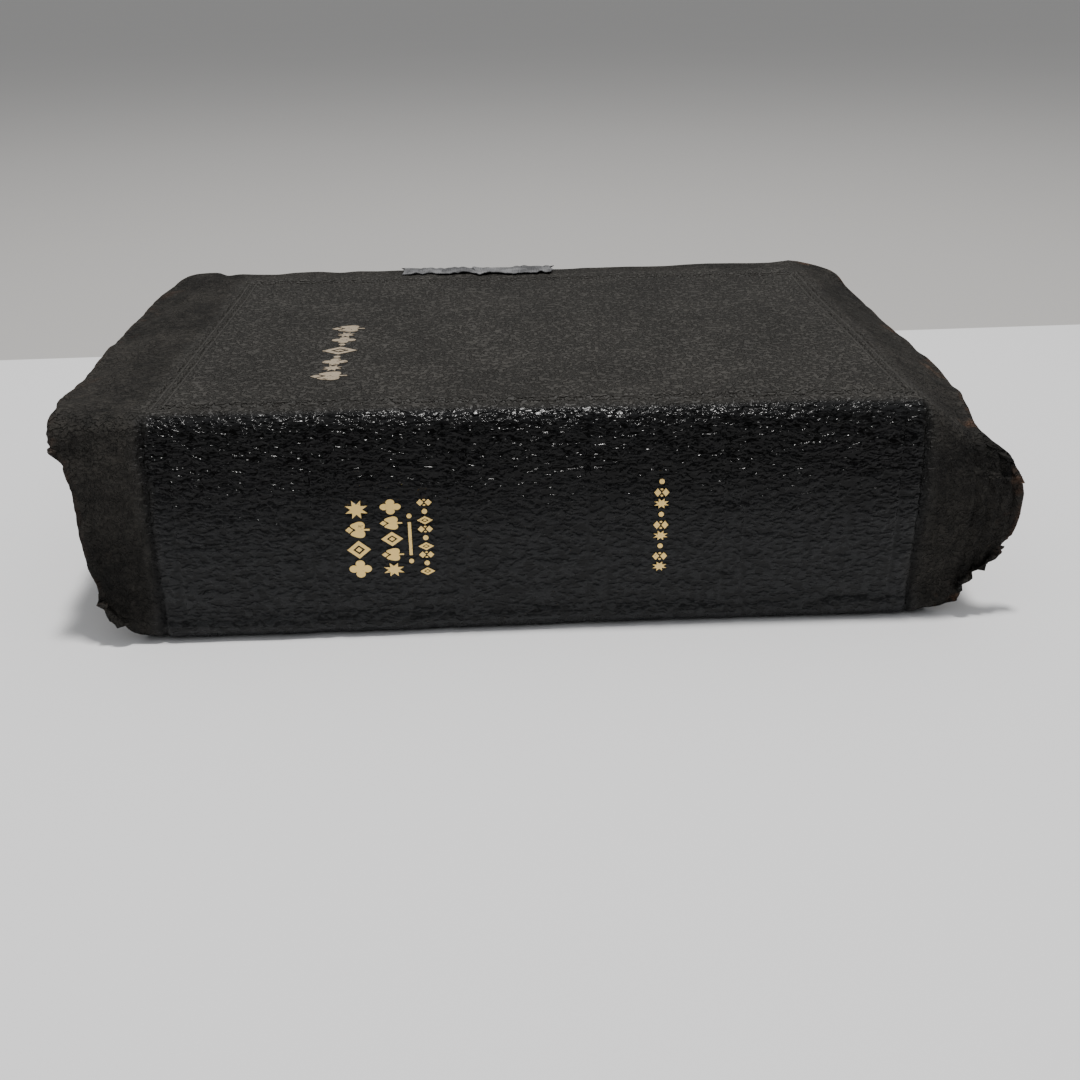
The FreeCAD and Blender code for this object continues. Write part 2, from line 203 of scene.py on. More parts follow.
# half lengths of the leather at places along it, from the back's fore edge round to the front's
tailEdge = dict(
    at=[-160, -60, -45, -38, -33, -30, -27, -24, -21, -18.5, -16, -13.5, -12.4, -11.6, -9, -5.5, -2, 3,
        8, 14, 19, 23, 26, 28, 31, 36, 46, 60, 150, 165, 176],
    half=[112, 112, 110, 104, 98.5, 98, 105.5, 103, 106, 110, 115, 114.5, 116, 114.2, 116, 117.2,
          118.2, 118.6, 117, 117.2, 116.6, 115, 111.5, 109.5, 108, 107.8, 109.6, 111.3, 112, 110.5, 109.5])
headEdge = dict(
    at=[-160, -60, -45, -38, -33, -30, -27, -24, -21, -17, -13, -9, -4, 5, 13, 18, 20.2, 21, 22, 25, 28,
        31, 36, 46, 60, 118, 140, 146, 150, 156, 160, 176],
    half=[112, 112, 109, 103, 99, 97.8, 101, 103, 107.4, 107, 107.6, 109.0, 109.3, 109.5, 110, 111.2,
          113.2, 115.2, 113.6, 114.2, 114, 113.6, 115, 116, 116.8, 119.2, 119.5, 119, 118.6, 116.8, 116.4, 116])


def edgeHalf(s, tail):
    # half the skin's length at s, with the frayed edge and the cut corners
    half = np.where(tail, np.interp(s, tailEdge["at"], tailEdge["half"]),
                    np.interp(s, headEdge["at"], headEdge["half"]))
    frayed = hump(s, -16, 9) + hump(s, 21, 4)          # the ends of the back are the most frayed
    ragged = 0.1 + 0.35 * np.where(tail, frayed, hump(s, 21, 4))
    half = half + ragged * ripple(s, np.where(tail, 40, 0), 0.9, 3) + 0.4 * ripple(s, np.where(tail, 80, 0), 5.0, 4)
    left = np.where(s > 0, panelStart, backPanelStart) + foreReach - np.abs(s)
    corner = np.where(tail, cover["tailCorner"], cover["headCorner"]) * np.where(s > 0, 1, 0.75)
    cut = corner - np.sqrt(np.maximum(corner ** 2 - np.clip(corner - left, 0, corner) ** 2, 0))
    return half - cut


def acrossHalf(q, half):
    # y from the spine's outermost line and height above the middle, for a length q along the leather
    turn = np.clip(q / half["bend"], 0, half["turn"])
    y, z = half["bend"] * (1 - np.cos(turn)), half["bend"] * np.sin(turn)
    bent = half["turn"] + np.clip((q - half["back"]) / half["shoulder"], 0, math.pi / 2 - half["turn"])
    onBend = q > half["back"]
    y = np.where(onBend, half["start"] - half["shoulder"] * np.cos(bent), y)
    z = np.where(onBend, middle - half["shoulder"] * (1 - np.sin(bent)), z)
    return np.where(q > half["back"] + half["corner"], q - half["panel"], y), z


def acrossCover(s):
    frontPlace, backPlace = acrossHalf(np.abs(s), frontHalf), acrossHalf(np.abs(s), backHalf)
    return np.where(s > 0, frontPlace[0], backPlace[0]), np.where(s > 0, frontPlace[1], backPlace[1])


# blind lines: a double frame on each side, and double lines and three short ones across the back
blind = dict(outer=91.0, inner=88.7, near=10.0, nearInner=12.3, far=133.6, farInner=131.3, depth=0.55, width=0.6,
             backEnd=86.5, backWidth=0.5, bandHalf=2.4, fold=92.0)


def frameGroove(x, y, half, near, far):
    # how deep a rectangle's pressed line is at a place: 1 on the line
    ax = np.abs(x)
    onEnds = hump(ax, half, blind["width"]) * smooth(y, near - 1, near) * (1 - smooth(y, far, far + 1))
    within = 1 - smooth(ax, half, half + 1)
    onSides = np.maximum(hump(y, near, blind["width"]), hump(y, far, blind["width"])) * within
    return np.maximum(onEnds, onSides)


spineBands = (-52.0, -20.0, 14.0, 47.0)
blindLines = ((71.2, 13, 43), (74.6, 17, 44.5), (78.0, 15, 43))      # x, from, to


def pressedLines(x, flatY, z):
    # 1 on the lines pressed in the sides, 1 on those of the back
    sides = np.maximum(frameGroove(x, flatY, blind["outer"], blind["near"], blind["far"]),
                       frameGroove(x, flatY, blind["inner"], blind["nearInner"], blind["farInner"]))
    wide = blind["backWidth"]
    back = hump(np.abs(x), blind["backEnd"], wide)
    for centre in spineBands:
        back = back + hump(x, centre - blind["bandHalf"], wide) + hump(x, centre + blind["bandHalf"], wide)
    for centre, low, high in blindLines:
        back = back + hump(x, centre, wide) * smooth(z, low, low + 1) * (1 - smooth(z, high, high + 1))
    return sides, back


def coverPoint(x, s, depth=0.0):
    # the leather's outer face, or a face that lies depth under it
    x, s = np.broadcast_arrays(np.asarray(x, float), np.asarray(s, float))
    if np.any(depth):
        step = 0.05
        base = coverPoint(x, s)
        alongX = coverPoint(x + step, s) - coverPoint(x - step, s)
        alongS = coverPoint(x, s + step) - coverPoint(x, s - step)
        normal = np.cross(alongX, alongS)
        normal /= np.linalg.norm(normal, axis=1)[:, None] + 1e-12
        return base - normal * np.reshape(depth, (-1, 1))      # the normal points outwards
    q, front, tail = np.abs(s), s > 0, x > 0
    y, z = acrossCover(s)
    flatY = y.copy()
    # a and b: how far past the leaves, at the ends and at the fore edge
    a = np.maximum(np.abs(x) - cover["blockHalf"], 0)
    b = np.maximum(y - cover["foreStart"], 0)
    toSide = np.where(front, frontHalf["back"], backHalf["back"])
    side = smooth(q, toSide - 19, toSide)                               # 1 on the two sides
    back = 1 - smooth(y, shoulderY, shoulderY + 26)                     # 1 on the rounded back
    # the fore flap turns over, less towards its corners
    toCorner = smooth(np.abs(x), 15, 100)
    frontFlat = 9.5 + 2.0 * toCorner + 3.5 * smooth(x, 10, 95) + 1.2 * ripple(x, 0, 17, 5)
    flat = np.where(front, frontFlat, 6 + 5 * toCorner)
    length = np.maximum(b - flat, 0)
    angle = np.maximum(length / cover["foreBend"], 1e-6)
    y = np.where(length > 0, cover["foreStart"] + flat + length * np.sin(angle) / angle, y)
    foreDrop = length * (1 - np.cos(angle)) / angle
    # the end flaps droop, most of all where they run into the back's tail
    nearBack = hump(flatY, 6, 24)
    tailDrop = a * 0.4 * np.maximum(a / 20, 1e-6) ** 0.6 * (1 - nearBack)
    tailDrop = tailDrop + nearBack * (0.72 * a - 0.6 * np.maximum(a - 13.5, 0))
    headDrop = 1.6 * (a / cover["flap"]) ** 2 - 0.9 * hump(a, 13.5, 1.7) * smooth(flatY, 4, 30)
    headDrop = headDrop - 1.2 * smooth(a, 14, 24) * nearBack
    underDrop = 6.0 * (a / cover["flap"]) ** 1.5
    drop = np.where(front, np.where(tail, tailDrop, headDrop), underDrop)
    cockle = smooth(a, 3, 16) * smooth(b, 2, 12)
    lift = np.where(front, np.where(tail, 0.3, -0.6), 0.0)
    down = (drop + foreDrop) * (1 - np.where(tail, 0.55, 0.7) * cockle) - lift * cockle
    down = down + 0.7 * smooth(a, 2, 14) * ripple(x, s, 9, 6) + 0.35 * smooth(b, 2, 8) * ripple(x, s, 7, 7)
    # pressed frame, wrinkles and the slight waviness of old leather
    height = middle + np.where(front, z, -z)
    press, bands = pressedLines(x, flatY, height)
    down = down + blind["depth"] * press * side
    wave = np.where(front, 0.22, 0.1) * (1 + ripple(x, flatY, 33, 8))
    down = down + wave - 0.8 * smooth(flatY, 112, 140) * front
    down = down + 0.1 * ripple(x * 0.5, flatY, 4.5, 9) * (1 - smooth(flatY, 20, 60))
    z = z - down * side
    # the back's ends turn in a little, in long curved creases
    tuck = np.where(tail, 2.8, 2.4) * (a / cover["flap"]) ** 1.3
    bow = 0.0048 * (z * np.where(tail, 1, 0.6)) ** 2
    creases = 0.45 * np.sin((a + bow) * 1.9) * smooth(a, 8, 14)
    inward = tuck + np.where(tail, creases, 0.5 * creases) + 0.3 * bands + 0.9 * hump(np.abs(x), blind["fold"], 0.9)
    inward = inward - (0.8 + 0.6 * smooth(-x, 0, 90)) * hump(s, 3.2 - middle, 2.4)        # the lip along the foot
    tooled = np.maximum(hump(x, -36, 13), hump(x, 29, 5)) * (s > 3 - middle / 2) * (s < 16)
    uneven = 0.16 * ripple(x * 0.35, s, 2.6, 10) + 0.12 * ripple(x, s, 3.0, 11)
    inward = inward + uneven * (1 - 0.85 * tooled)
    inward = inward + 0.5 * smooth(a, 1, 12) * ripple(x, s, 7, 12)
    # the back leans out at the foot of its head end
    cocked = cover["lean"] * (1 - smooth(height, 6, 50)) * (1 - smooth(x, -100, 70))
    y = y + (inward - cocked) * back
    # the edge is turned in, and a faint hem shows where the turned part ends
    edge = np.minimum(edgeHalf(s, tail) - np.abs(x), foreReach - flatY)
    over = np.clip(1 - edge / cover["edgeRoll"], 0, 1)
    roll = cover["edgeRoll"] * (1 - np.sqrt(np.clip(1 - over ** 2, 0, 1)))
    hem = 0.45 * (1 - smooth(edge, 1.9, 2.9)) * np.where(front | (back > 0.5), 1, 0)
    z = z - (roll - hem) * side
    y = y + (roll - hem) * back * (1 - side)
    z = np.where(front, z, -z)
    return np.stack([x, y + spineFace, z + middle], axis=1)


def stretchColumn(column, s, short=0.0):
    # a column keeps its place on the book, and past the leaves it keeps its share of the flap
    ax = np.abs(column)
    share = np.clip((ax - cover["flapStart"]) / cover["flap"], 0, 1)
    half = edgeHalf(s, column > 0) - short
    reach = np.maximum(half - cover["flapStart"], 3)
    squeeze = np.minimum(half / (cover["flapStart"] + reach), 1)        # only where the corner is cut away
    return np.sign(column) * np.where(share > 0, cover["flapStart"] + share * reach, ax) * squeeze


# columns of points run across the skin, rows along it; both crowd towards edges and pressed lines
flapShares = np.concatenate([np.linspace(0.05, 0.85, 17), [0.89, 0.92, 0.945, 0.965, 0.98, 0.992, 1.0]])
flapColumns = cover["flapStart"] + cover["flap"] * flapShares
frameLines = (-blind["outer"], -blind["inner"], blind["inner"], blind["outer"])
core = steps(-cover["flapStart"], cover["flapStart"], 1.7, frameLines)
sideColumns = np.concatenate([-flapColumns[::-1], core, flapColumns])
bandLines = [centre + part for centre in spineBands for part in (-blind["bandHalf"], blind["bandHalf"])]
bandLines += [-blind["fold"], -blind["backEnd"], blind["backEnd"], blind["fold"]]
backCore = steps(-cover["flapStart"], cover["flapStart"], 1.5, bandLines, 0.4, 0.9)
backColumns = np.concatenate([-flapColumns[::-1], backCore, flapColumns])


def sideRows(half):
    lines = [half["panel"] + blind[k] for k in ("near", "nearInner", "farInner", "far")]
    bendEnd, end = half["back"] + half["corner"], half["panel"] + foreReach
    return np.concatenate([steps(cover["seam"], bendEnd, 0.6)[:-1], steps(bendEnd, end - 3, 1.6, lines)[:-1],
                           end - np.array([3, 2.4, 1.8, 1.3, 0.9, 0.6, 0.35, 0.15, 0.0])])


def coverPiece(name, columns, rows, depth=0.0, short=0.0):
    def place(column, s):
        x = stretchColumn(column, s, short)
        return coverPoint(x, s, depth)
    return gridPiece(name, columns, rows, place)


def edgeDistance(obj):
    # how far each point is from the leather's edge, for the wear
    co = places(obj) / mm
    y, z = co[:, 1] - spineFace, co[:, 2] - middle
    s = np.where(y < shoulderY, z, np.where(z > 0, y + panelStart, -y - backPanelStart))
    gap = np.minimum(edgeHalf(s, co[:, 0] > 0) - np.abs(co[:, 0]), foreReach - y)
    addAttribute(obj, "edgeGap", np.clip(gap, 0, 40))
    sides, back = pressedLines(co[:, 0], y, co[:, 2])
    onBack = 1 - smooth(y, 3, 8)
    addAttribute(obj, "pressed", np.clip(sides * (1 - onBack) + back * onBack, 0, 1))
    # where the back folds over at its ends, for the painted shade in that crease
    addAttribute(obj, "folded", hump(np.abs(co[:, 0]), blind["fold"], 0.8) * onBack)


def leatherShell(name, columns, rows, nodes):
    obj = coverPiece(name, columns, rows)
    edgeDistance(obj)
    applyModifier(obj, "SOLIDIFY", thickness=cover["leather"] * mm, offset=-1, use_rim=True)
    smoothShade(obj, 50)
    keepRest(obj)
    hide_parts(*nodes)
    return obj


frontLeather = leatherShell("frontLeather", sideColumns, sideRows(frontHalf),
                            ["front_cover_leather", "front_board"])
backLeather = leatherShell("backLeather", sideColumns, -sideRows(backHalf)[::-1],
                           ["back_cover_leather", "back_board"])
backRows = steps(-cover["seam"], cover["seam"], 0.7)
spineLeather = leatherShell("spineLeather", backColumns, backRows, ["spine_leather_lower", "spine_leather_upper"])
print("leather: front, back and spine")


class Value:
    # a socket that can be added, multiplied and so on
    def __init__(self, paint, socket):
        self.paint, self.socket = paint, socket

    def math(self, operation, first, second=0.5):
        return self.paint.add("ShaderNodeMath", {"operation": operation}, {0: first, 1: second})

    def wave(self, pitch):
        return self.math("SINE", self * (fullTurn / pitch))

    def __add__(self, other):
        return self.math("ADD", self, other)

    def __sub__(self, other):
        return self.math("SUBTRACT", self, other)

    def __rsub__(self, other):
        return self.math("SUBTRACT", other, self)

    def __mul__(self, other):
        return self.math("MULTIPLY", self, other)

    def __abs__(self):
        return self.math("ABSOLUTE", self)

    __radd__ = __add__
    __rmul__ = __mul__

    def most(self, other):
        return self.math("MAXIMUM", self, other)

    def between(self, low, high):
        return self.paint.add("ShaderNodeMapRange", {"interpolation_type": "SMOOTHSTEP"},
                              {"Value": self, "From Min": low, "From Max": high})


class Paint:
    # one material; its patterns read the object's own place, or the stored place at rest
    def __init__(self, name, attribute=None):
        self.material = bpy.data.materials.new(name)
        self.material.use_nodes = True
        self.tree = self.material.node_tree
        self.tree.nodes.clear()
        if attribute:
            self.place = self.add("ShaderNodeAttribute", {"attribute_name": attribute}, {}, "Vector")
        else:
            self.place = self.add("ShaderNodeTexCoord", {}, {}, "Object")
        self.x, self.y, self.z = (self.part(self.place, axis) for axis in "XYZ")

    def add(self, kind, settings, sockets, out=0):
        node = self.tree.nodes.new(kind)
        for name, value in settings.items():
            setattr(node, name, value)
        for name, value in sockets.items():
            self.join(node.inputs[name], value)
        return Value(self, node.outputs[out])

    def part(self, vector, axis):
        return self.add("ShaderNodeSeparateXYZ", {}, {"Vector": vector}, axis)

    def join(self, socket, value):
        if isinstance(value, Value):
            self.tree.links.new(value.socket, socket)
        else:
            socket.default_value = value

    def scaled(self, x, y, z, place=None):
        sockets = {0: place or self.place, 1: (x, y, z)}
        return self.add("ShaderNodeVectorMath", {"operation": "MULTIPLY"}, sockets)

    def noise(self, scale, detail=2.0, roughness=0.5, place=None):
        sockets = {"Vector": place or self.place, "Scale": scale, "Detail": detail, "Roughness": roughness}
        return self.add("ShaderNodeTexNoise", {}, sockets, "Fac")

    def mix(self, share, first, second):
        node = self.tree.nodes.new("ShaderNodeMix")
        node.data_type = "RGBA"
        self.join(node.inputs["Factor"], share)
        self.join(node.inputs[6], first)
        self.join(node.inputs[7], second)
        return Value(self, node.outputs[2])

    def attribute(self, name):
        return self.add("ShaderNodeAttribute", {"attribute_name": name}, {}, "Fac")

    def bump(self, height, distance):
        return self.add("ShaderNodeBump", {}, {"Height": height, "Distance": distance, "Strength": 1.0})

    def finish(self, **sockets):
        shader = self.tree.nodes.new("ShaderNodeBsdfPrincipled")
        for name, value in sockets.items():
            self.join(shader.inputs[name.replace("_", " ")], value)
        output = self.tree.nodes.new("ShaderNodeOutputMaterial")
        self.tree.links.new(shader.outputs[0], output.inputs[0])
        return self.material


def coat(obj, material):
    obj.data.materials.clear()
    obj.data.materials.append(material)
    return obj


def colour(r, g, b):
    return (r, g, b, 1.0)


def darker(tone, share):
    return colour(*(share * c for c in tone[:3]))


leather = dict(
    # side and sideDark are near-black leather with a painted sheen: the sides are painted lighter than the back
    side=colour(0.0440, 0.0412, 0.0372),
    sideDark=colour(0.0335, 0.0315, 0.0285),
    back=colour(0.0016, 0.0016, 0.0018),
    backPale=colour(0.0046, 0.0046, 0.005),
    flap=colour(0.031, 0.0283, 0.0246),
    flapDark=colour(0.0076, 0.0071, 0.0063),
    rub=colour(0.075, 0.042, 0.026),
    # a painted reflection of the pale floor on the lower back
    backFloorReflection=colour(0.0215, 0.0222, 0.0234),
    # the pressed lines' tone, partly a painted highlight
    line=colour(0.036, 0.034, 0.031),
    # painted shade for the pits of the grain
    pitShade=colour(0.0015, 0.0014, 0.0013),
    # painted shade for the crease where the back folds over
    fold=colour(0.001, 0.001, 0.001),
    grain=1.0 * mm,
    backGrain=1.25 * mm,
    stir=1.1 * mm,
)


def oldLeather():
    p = Paint("oldLeather", "restPlace")
    gap = p.attribute("edgeGap")
    flap = (abs(p.x) + (p.noise(70.0, 2.0) - 0.5) * (6 * mm)).between(89.5 * mm, 96.5 * mm)
    fore = p.y.between((spineFace + 137) * mm, (spineFace + 143) * mm)
    dull = flap.most(fore * 0.6)            # the flaps have lost their polish
    back = p.y.between((spineFace + 8) * mm, (spineFace + 5) * mm) * (1 - flap)
    # grain: small pebbles on the sides, bigger and flatter ones on the back
    stir = p.add("ShaderNodeTexNoise", {}, {"Vector": p.place, "Scale": 420.0, "Detail": 1.0}, "Color")
    stirred = p.add("ShaderNodeVectorMath", {"operation": "MULTIPLY_ADD"},
                    {0: stir, 1: (leather["stir"],) * 3, 2: p.place})
    fine = p.noise(1 / leather["grain"], 2.0, 0.45, stirred).between(0.38, 0.58)
    bold = p.noise(1 / leather["backGrain"], 1.5, 0.5, p.scaled(0.6, 1.0, 1.0, stirred)).between(0.36, 0.66)
    patch = p.noise(240.0, 3.0, 0.6)
    pebble = fine * (1 - back) + bold * back
    pebble = pebble * (0.4 + 1.2 * patch)
    flow = p.noise(1.0, 3.0, 0.6, p.scaled(90, 330, 330))       # long soft ripples
    low = p.z.between(44 * mm, 18 * mm)                         # towards the bottom: worn flatter, and painted lighter as a reflection of the floor
    pebble = pebble * (1 - 0.5 * (low * back)) * (1 - 0.4 * dull)
    mottle = p.noise(38.0, 4.0, 0.6)
    fibre = p.noise(1900.0, 3.0, 0.7)
    # colours, from the sound leather to the worn, rubbed and pressed, with painted sheen, reflection, highlight and
    # shade
    side = p.mix(mottle.between(0.35, 0.7), leather["sideDark"], leather["side"])
    spine = p.mix(mottle.between(0.4, 0.75), leather["back"], leather["backPale"])
    # painted reflection: the lower back is painted lighter, as the floor shows in it
    spine = p.mix(low * 0.8, spine, leather["backFloorReflection"])
    patchy = mottle * 0.5 + fibre * 0.3 + p.noise(330.0, 3.0, 0.6) * 0.4
    worn = p.mix(patchy.between(0.45, 0.75), leather["flapDark"], leather["flap"])
    # painted sheen: the sides take a lighter tone than the back, which is the same leather
    tone = p.mix(back, side, spine)
    tone = p.mix(dull, tone, worn)
    scuff = (2.4 - gap).between(0.0, 2.2) * p.noise(260.0, 4.0, 0.7).between(0.42, 0.62)
    bare = p.noise(90.0, 3.0, 0.65).between(0.56, 0.72) * flap * (9.0 - gap).between(0.0, 7.0)
    rubbed = scuff.most(bare * 0.8) * p.x.between(-20 * mm, 100 * mm).most(0.35)
    tone = p.mix(rubbed * 0.85, tone, leather["rub"])
    pale = fine.between(0.6, 1.0) * mottle.between(0.5, 0.8) * (1 - back)
    rough = 0.5 + 0.12 * mottle - 0.05 * pale
    rough = rough * (1 - back) + back * (0.13 + 0.12 * patch + 0.09 * low)
    rough = rough * (1 - dull) + dull * (0.72 + 0.2 * fibre)
    pressed = p.attribute("pressed")
    # painted shade: the pits between the pebbles of the grain are painted darker
    tone = p.mix((1 - pebble.between(0.05, 0.45)) * (0.42 + 0.12 * back) * (1 - 0.5 * dull), tone, leather["pitShade"])
    # the pressed lines are smooth, and painted a paler even tone as a painted highlight along them
    tone = p.mix(pressed * (1 - back) * 0.6, tone, leather["line"])
    # painted shade: the crease where the back folds over is painted near-black
    tone = p.mix(p.attribute("folded") * 0.8, tone, leather["fold"])
    pebble = pebble * (1 - 0.8 * pressed)
    height = pebble * (1.9 - 1.1 * back) + flow * (0.3 + 0.8 * back) + 0.06 * fibre + patch * 0.35
    height = height + dull * p.noise(520.0, 3.0, 0.6)
    return p.finish(Base_Color=tone, Roughness=rough, Normal=p.bump(height, 0.5 * mm), Specular_IOR_Level=0.16)


leatherMaterial = oldLeather()
for obj in (frontLeather, backLeather, spineLeather):
    coat(obj, leatherMaterial)

# the points where the back piece meets the side pieces, and the leather's transforms baked into its points
seamTop, seamLow = coverPoint([0, 0], [cover["seam"], -cover["seam"]]) * mm
seamTop[2] + 0.5 * mm
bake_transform(frontLeather)
seamLow[2] - 0.5 * mm
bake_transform(backLeather)
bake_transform(spineLeather)


def paperEdges():
    # worn gilt over red on the edges, paper on the flat sides
    p = Paint("pageEdges")
    leaf = p.noise(1.0, 2.0, 0.6, p.scaled(9, 9, 6500))
    wear = p.noise(26.0, 4.0, 0.6)
    flat = p.attribute("flatness").between(0.7, 0.9)
    rubbed = (wear * 0.75 + leaf * 0.35).between(0.52, 0.72)
    gold = p.mix(leaf.between(0.3, 0.7), colour(0.42, 0.30, 0.145), colour(0.5, 0.37, 0.19))
    red = p.mix(leaf.between(0.3, 0.7), colour(0.34, 0.2, 0.13), colour(0.4, 0.25, 0.165))
    edge = p.mix(rubbed * 0.7, gold, red)
    paper = p.mix(p.noise(60.0, 4.0, 0.6), colour(0.76, 0.69, 0.54), colour(0.8, 0.74, 0.6))
    return p.finish(Base_Color=p.mix(flat, edge, paper), Roughness=0.4 + 0.25 * rubbed + 0.2 * flat,
                    Metallic=(1 - flat) * (1 - rubbed) * 0.5, Normal=p.bump(leaf, 0.06 * mm))


def weave(name, dark, light, pitch):
    p = Paint(name)
    thread = p.x.wave(pitch) * (p.y + p.z).wave(pitch) * 0.5 + 0.5
    tone = p.mix((thread * 0.6 + p.noise(300.0, 3.0) * 0.5).between(0.2, 0.9), dark, light)
    return p.finish(Base_Color=tone, Roughness=0.85 + 0.1 * thread, Normal=p.bump(thread, 0.1 * mm))


def stripedSilk():
    p = Paint("bandSilk")
    stripe = p.z.wave(3.2 * mm).between(-0.2, 0.2)
    thread = p.z.wave(0.4 * mm)
    tone = p.mix(stripe, colour(0.32, 0.03, 0.025), colour(0.62, 0.55, 0.4))
    tone = p.mix(p.noise(200.0, 3.0) * 0.5, tone, colour(0.09, 0.06, 0.045))
    return p.finish(Base_Color=tone, Roughness=0.5 + 0.1 * stripe, Normal=p.bump(thread, 0.12 * mm),
                    Sheen_Weight=0.3)


def paperSheet(name, dark, light, rough=0.8, attribute=None):
    p = Paint(name, attribute)
    cloud = p.noise(35.0, 5.0, 0.6)
    speck = p.noise(900.0, 2.0, 0.7)
    tone = p.mix((cloud * 0.7 + speck * 0.4).between(0.3, 0.8), dark, light)
    return p.finish(Base_Color=tone, Roughness=rough + 0.1 * speck, Normal=p.bump(speck + cloud, 0.05 * mm))


finishes = {
    "section": paperEdges(),
    "sewing_tapes": weave("linenTape", colour(0.45, 0.4, 0.3), colour(0.68, 0.62, 0.5), 0.7 * mm),
    "kettle": weave("linenThread", colour(0.5, 0.45, 0.35), colour(0.72, 0.66, 0.54), 0.3 * mm),
    "mull": weave("mull", colour(0.42, 0.38, 0.3), colour(0.66, 0.62, 0.52), 1.1 * mm),
    "spine_paper": paperSheet("spinePaper", colour(0.16, 0.1, 0.06), colour(0.28, 0.19, 0.12)),
    "head_band": stripedSilk(),
    "flyleaf": paperSheet("flyleafPaper", colour(0.012, 0.011, 0.011), colour(0.03, 0.028, 0.027), 0.45),
    "lining": paperSheet("coverLining", colour(0.009, 0.009, 0.0095), colour(0.024, 0.023, 0.024), 0.5),
}
finishes["tail_band"] = finishes["head_band"]


def markFlatSides(obj):
    # 1 on the faces that lie flat and 0 on the upright ones
    attribute = obj.data.attributes.new("flatness", "FLOAT", "FACE")
    attribute.data.foreach_set("value", [abs(face.normal.z) for face in obj.data.polygons])


for name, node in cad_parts.items():
    if "section" in name:
        markFlatSides(node)
    for word, material in finishes.items():
        if word in name:
            coat(node, material)
print("materials: %d for the pieces inside" % len(finishes))


def lining(name, rows, node, body):
    # lies under the leather and stops short of its edge
    columns = np.concatenate([-flapColumns[::-3], core[::3], flapColumns[::3]])
    obj = coverPiece(name, columns, rows, cover["leather"] + 0.05, 2.0)
    applyModifier(obj, "SOLIDIFY", thickness=cover["lining"] * mm, offset=-1, use_rim=True)
    smoothShade(obj)
    keepRest(obj)
    coat(obj, finishes["lining"])
    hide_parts(node)
    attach(obj, body)
    return obj


liningRows = steps(11, foreReach - 2.2, 2.4)
lining("frontLining", panelStart + liningRows, "front_lining", "front_cover")
lining("backLining", -backPanelStart - liningRows[::-1], "back_lining", "back_cover")
print("linings")


def openingLeaves():
    # the two leaves the book opens between, one sheet folded at the back
    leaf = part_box("section_17")
    half, fore, fold, corner = leaf[1].x / mm - 0.1, leaf[1].y / mm - 0.1, spineFace + 2.8, 7.0
    radius = 0.1
    low, high = splitHeight - radius, splitHeight + radius
    run = steps(0, fore - fold - radius, 3.0, (0,), 0.4, 2.0)
    turn = np.linspace(-math.pi / 2, math.pi / 2, 17)
    tiny = 1e-3                             # the fold's angles share one list with the lengths
    line = np.concatenate([-run[:0:-1], turn * tiny, run[1:]])
    columns = steps(-half, half, 3.0, (-half, half), 0.5, 8.0)

    def place(x, at):
        inFold = np.abs(at) < 0.01
        angle = at / tiny
        y = np.where(inFold, fold + radius * (1 - np.cos(angle)), fold + radius + np.abs(at))
        z = np.where(inFold, splitHeight + radius * np.sin(angle), np.where(at > 0, high, low))
        left = np.clip(corner - (fore - y), 0, corner)
        cut = corner - np.sqrt(corner ** 2 - left ** 2)
        return np.stack([x * (half - cut) / half, y, z], axis=1)
    obj = gridPiece("openingLeaves", columns, line, place)
    applyModifier(obj, "SOLIDIFY", thickness=0.05 * mm, offset=0, use_rim=True)
    smoothShade(obj)
    keepRest(obj)
    coat(obj, paperSheet("openingPaper", colour(0.7, 0.63, 0.48), colour(0.8, 0.74, 0.6), 0.7, "restPlace"))
    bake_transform(obj)


openingLeaves()


# gilt tools are flat shapes about one unit high, later stamped on the leather
def beginTool(vertices, radius, turn=0.0):
    bpy.ops.object.select_all(action="DESELECT")
    bpy.ops.mesh.primitive_circle_add(vertices=vertices, radius=radius, fill_type="NGON", rotation=(0, 0, turn))
    obj = bpy.context.object
    bpy.ops.object.transform_apply(location=False, rotation=True, scale=True)
    return obj


def hollow(obj, wall):
    pick(obj)
    bpy.ops.object.mode_set(mode="EDIT")
    bpy.ops.mesh.select_all(action="SELECT")
    bpy.ops.mesh.inset(thickness=wall)
    bpy.ops.mesh.delete(type="FACE")
    bpy.ops.object.mode_set(mode="OBJECT")
    return obj


def shift(obj, x=0.0, y=0.0, sx=1.0, sy=1.0):
    co = places(obj)
    co[:, 0] = co[:, 0] * sx + x
    co[:, 1] = co[:, 1] * sy + y
    putPlaces(obj, co)
    return obj


def joined(objects, name):
    bpy.ops.object.select_all(action="DESELECT")
    for obj in objects:
        obj.select_set(True)
    bpy.context.view_layer.objects.active = objects[0]
    if len(objects) > 1:
        bpy.ops.object.join()
    objects[0].name = objects[0].data.name = name
    return objects[0]


def bar(x, y, width, height):
    return shift(beginTool(4, math.sqrt(0.5), math.pi / 4), x, y, width, height)


def toolStar():
    star = beginTool(16, 0.5, math.pi / 8)
    co = places(star)
    co[1::2] *= 0.5
    putPlaces(star, co)
    return joined([star], "toolStar")


def toolLozenge():
    rim = hollow(shift(beginTool(4, 0.5), 0, 0, 0.96, 1.0), 0.17)
    return joined([rim, beginTool(4, 0.14)], "toolLozenge")


def toolFlower():
    petals = []
    for k in range(4):
        turn = k * math.pi / 2
        petals.append(shift(beginTool(16, 0.2), 0.28 * math.cos(turn), 0.28 * math.sin(turn)))
    return joined(petals + [beginTool(4, 0.16, math.pi / 4)], "toolFlower")


def toolKnot():
    # two small lozenges and a bead between them
    return joined([shift(beginTool(4, 0.3), 0, 0.26, 1.3, 0.75), shift(beginTool(4, 0.3), 0, -0.26, 1.3, 0.75),
                   shift(beginTool(10, 0.09), 0.3, 0), shift(beginTool(10, 0.09), -0.3, 0)], "toolKnot")


